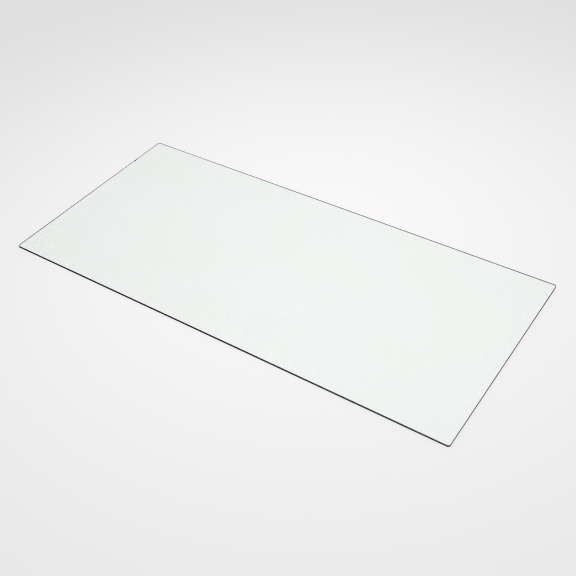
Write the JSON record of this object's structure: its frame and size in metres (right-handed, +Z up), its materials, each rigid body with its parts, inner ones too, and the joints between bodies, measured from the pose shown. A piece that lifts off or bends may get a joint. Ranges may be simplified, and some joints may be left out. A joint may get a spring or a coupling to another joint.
{
  "type": "crisper cover glass",
  "caption": "Flat rectangular pane of pale green clear glass with rounded corners and seamed edges; drops into a frame as the shelf over a refrigerator's crisper drawers.",
  "frame": {"origin": "centre of the underside, on the surface that the pane lies on", "axes": "+X to the right along the long front edge, +Y from the front edge to the back edge, +Z up out of the top face"},
  "size_m": [0.66, 0.305, 0.0032],
  "materials": {
    "clear_glass": "clear float glass with a faint green tint, polished faces, satin-ground edges and seams"
  },
  "bodies": {
    "root": {"cover_glass": "clear_glass"}
  },
  "joints": []
}
